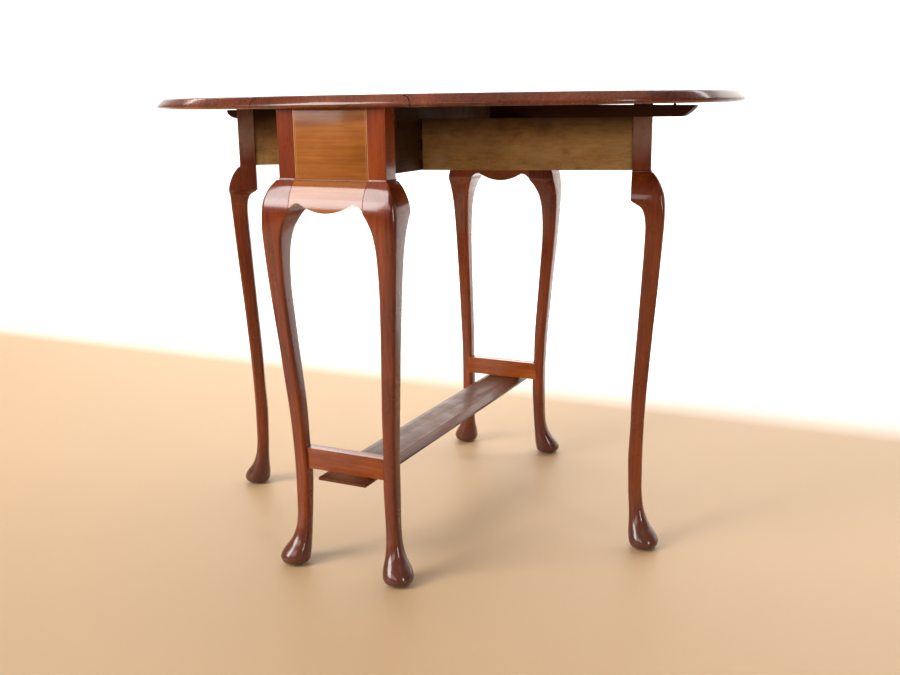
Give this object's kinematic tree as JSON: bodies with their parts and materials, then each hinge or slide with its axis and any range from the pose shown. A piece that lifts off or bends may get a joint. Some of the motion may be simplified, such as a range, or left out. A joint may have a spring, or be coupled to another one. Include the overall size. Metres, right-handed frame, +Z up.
{
  "type": "drop leaf table",
  "caption": "Oval drop leaf table on cabriole legs, with swinging gate legs under hinged leaves and an H stretcher.",
  "frame": {"origin": "centre of the footprint on the floor", "axes": "+X across the leaves to the right, +Y along the joint lines away from the viewer, +Z up"},
  "size_m": [1.0244, 0.6936, 0.72],
  "materials": {
    "polished_legs": "french polished mahogany, dark red brown",
    "polished_top": "french polished mahogany boards with a moulded rim",
    "polished_panel": "french polished mahogany, horizontal figure, orange brown",
    "plain_rail": "unpolished secondary wood, tan and mottled",
    "dark_rail": "stained dark secondary wood, satin",
    "steel": "dulled steel",
    "brass": "dull aged brass",
    "glide": "dark worn foot pads"
  },
  "bodies": {
    "frame": {"leg_near_left": "polished_legs", "leg_near_right": "polished_legs", "leg_far_left": "polished_legs", "leg_far_right": "polished_legs", "end_panel_near": "polished_panel", "end_panel_far": "polished_panel", "apron_near": "polished_legs", "apron_far": "polished_legs", "centre_rail": "plain_rail", "side_rail_left": "dark_rail", "side_rail_right": "dark_rail", "gate_pin_left": "steel", "gate_pin_right": "steel", "stretcher_rail_near": "polished_legs", "stretcher_rail_far": "polished_legs", "stretcher_board": "polished_legs", "stretcher_screws": "steel", "glue_blocks": "plain_rail", "top_centre": "polished_top", "top_screws": "steel", "hinge_plates_fixed": "brass", "hinge_pins": "brass", "hinge_screws_fixed": "steel", "glides_fixed": "glide"},
    "leaf_left": {"leaf_left": "polished_top", "batten_left": "dark_rail", "batten_screws_left": "steel", "hinge_plates_left": "brass", "hinge_screws_left": "steel"},
    "leaf_right": {"leaf_right": "polished_top", "batten_right": "dark_rail", "batten_screws_right": "steel", "hinge_plates_right": "brass", "hinge_screws_right": "steel"},
    "gate_left": {"gate_rail_left": "plain_rail", "gate_leg_left": "polished_legs", "glide_gate_left": "glide"},
    "gate_right": {"gate_rail_right": "plain_rail", "gate_leg_right": "polished_legs", "glide_gate_right": "glide"}
  },
  "joints": [
    {"name": "gate_right_swing", "type": "hinge", "parent": "frame", "child": "gate_right", "pos_m": [0.027, -0.1087, 0.643], "axis": [0, 0, 1], "range_deg": [0, 73]},
    {"name": "gate_left_swing", "type": "hinge", "parent": "frame", "child": "gate_left", "pos_m": [-0.027, 0.1087, 0.643], "axis": [0, 0, 1], "range_deg": [0, 56]},
    {"name": "leaf_right_hinge", "type": "hinge", "parent": "frame", "child": "leaf_right", "pos_m": [0.118, 0, 0.705], "axis": [0, -1, 0], "range_deg": [0, 1.5]},
    {"name": "leaf_left_hinge", "type": "hinge", "parent": "frame", "child": "leaf_left", "pos_m": [-0.118, 0, 0.705], "axis": [0, 1, 0], "range_deg": [0, 1.5]}
  ]
}
